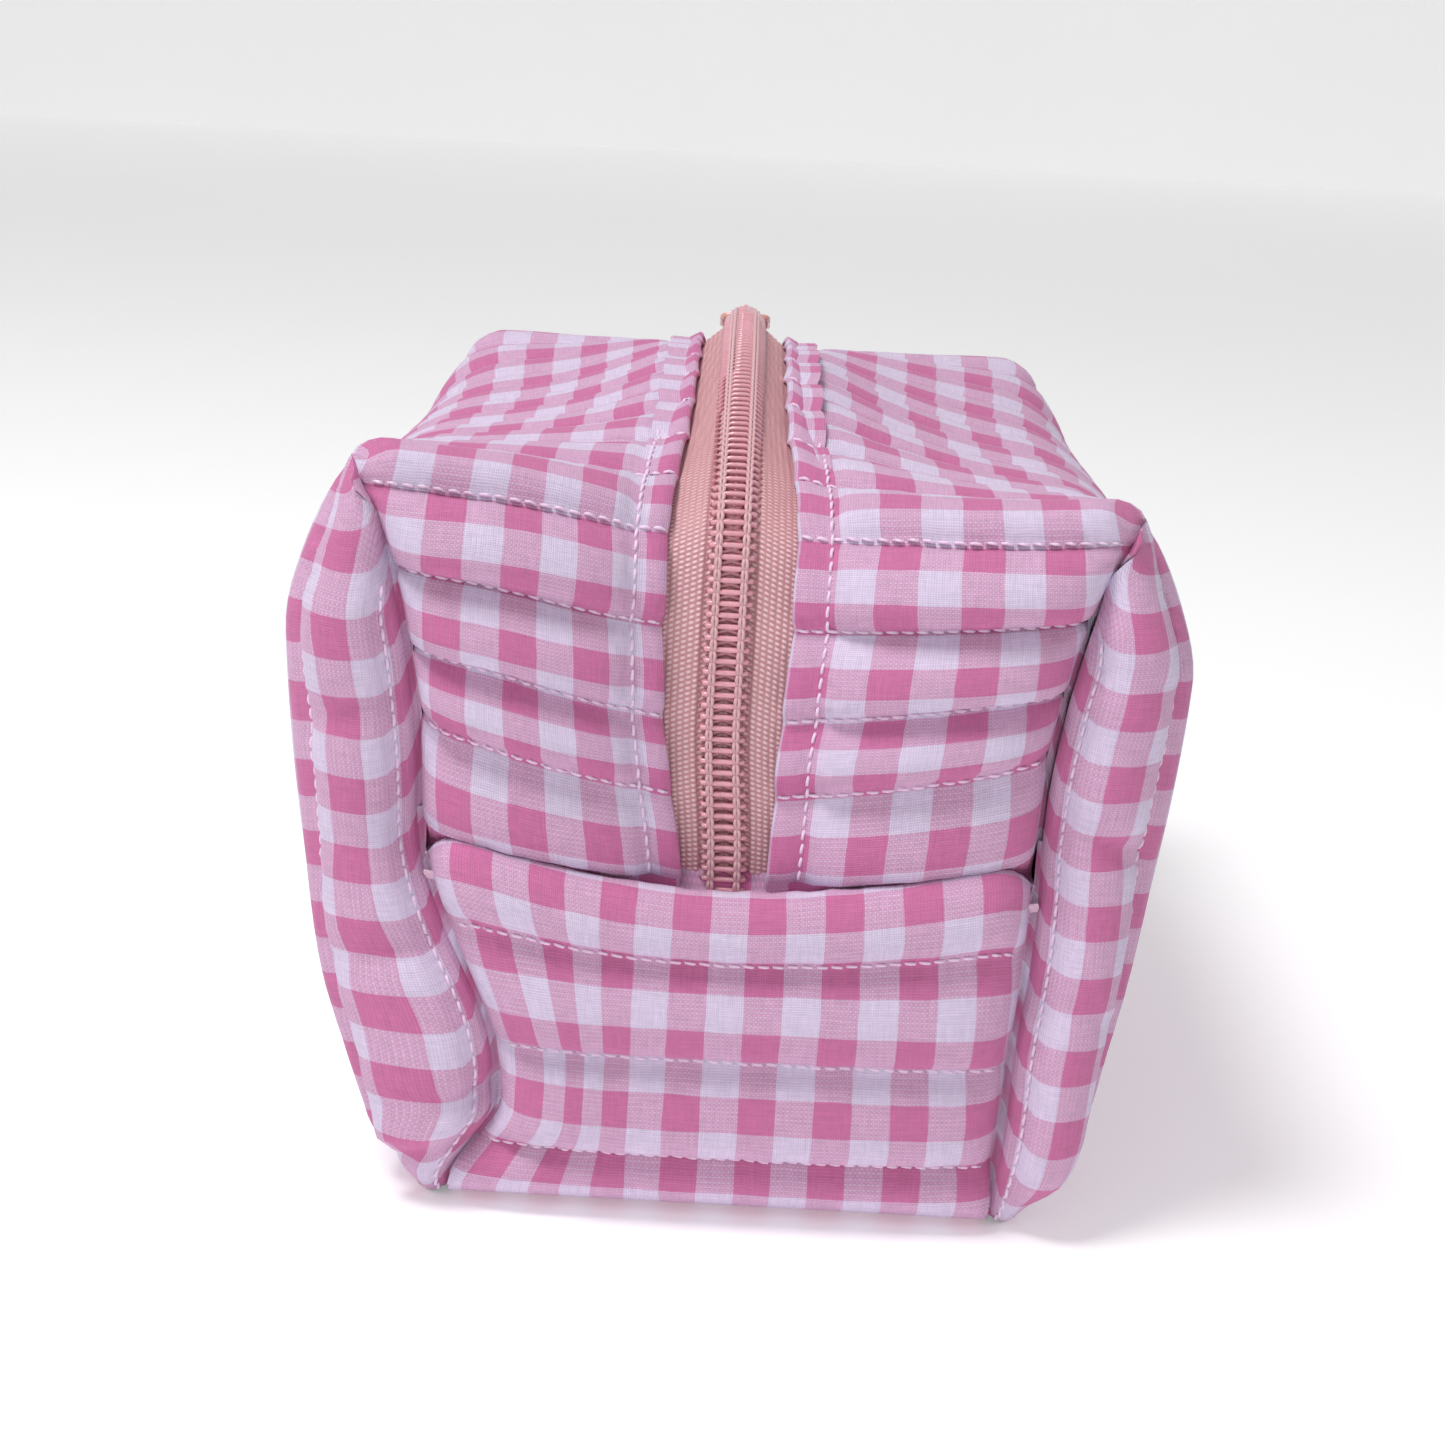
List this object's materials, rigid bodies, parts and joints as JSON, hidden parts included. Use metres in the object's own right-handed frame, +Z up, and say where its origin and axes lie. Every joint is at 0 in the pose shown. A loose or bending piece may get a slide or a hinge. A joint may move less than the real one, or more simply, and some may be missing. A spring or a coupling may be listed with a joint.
{
  "type": "makeup bag",
  "caption": "Quilted gingham cotton makeup bag, boxed corners, coil zipper over the top and down both ends, opening like a clam.",
  "frame": {"origin": "centre of the base, on the surface that the bag stands on", "axes": "+Z up, +Y along the zipper towards the end where the closed slider parks, +X to the right seen from the front end"},
  "size_m": [0.141, 0.186, 0.1362],
  "materials": {
    "gingham_cover": "pink and pale lilac-white gingham poplin, quilted",
    "wadding": "white polyester fleece",
    "lining": "plain pale pink cotton",
    "binding": "folded bias tape",
    "zipper_tape": "satin ribbed woven tape, peach",
    "zipper_coil": "translucent nylon coil, peach",
    "slider": "peach enamel, satin gloss"
  },
  "bodies": {
    "tub": {"base_cover": "gingham_cover", "base_wadding": "wadding", "base_lining": "lining", "front_seam_binding": "binding", "rear_seam_binding": "binding", "front_left_lower_binding": "binding", "front_right_lower_binding": "binding", "rear_left_lower_binding": "binding", "rear_right_lower_binding": "binding"},
    "left_side": {"left_side_cover": "gingham_cover", "left_side_wadding": "wadding", "left_side_lining": "lining", "left_zipper_tape": "zipper_tape", "left_zipper_coil": "zipper_coil", "front_left_upper_binding": "binding", "rear_left_upper_binding": "binding"},
    "right_side": {"right_side_cover": "gingham_cover", "right_side_wadding": "wadding", "right_side_lining": "lining", "right_zipper_tape": "zipper_tape", "right_zipper_coil": "zipper_coil", "front_right_upper_binding": "binding", "rear_right_upper_binding": "binding"},
    "slider": {"slider_body": "slider"},
    "pull": {"pull_tab": "slider"}
  },
  "joints": [
    {"name": "slider_run", "type": "hinge", "parent": "tub", "child": "slider", "pos_m": [0, 0, -0.047], "axis": [1, 0, 0], "range_deg": [0, 38]},
    {"name": "left_side_opens", "type": "hinge", "parent": "tub", "child": "left_side", "pos_m": [-0.0715, 0, 0.0555], "axis": [0, -1, 0], "range_deg": [0, 35], "deforming": ["left_zipper_tape", "left_zipper_coil"]},
    {"name": "right_side_opens", "type": "hinge", "parent": "tub", "child": "right_side", "pos_m": [0.0715, 0, 0.0555], "axis": [0, 1, 0], "range_deg": [0, 35], "deforming": ["right_zipper_tape", "right_zipper_coil"]},
    {"name": "pull_tab_swing", "type": "hinge", "parent": "slider", "child": "pull", "pos_m": [0, 0.06118, 0.12823], "axis": [1, 0, 0], "range_deg": [0, 150]}
  ],
  "couplings": [
    {"joint": "left_side_opens", "follows": "slider_run", "ratio": 0.9},
    {"joint": "right_side_opens", "follows": "slider_run", "ratio": 0.9}
  ]
}
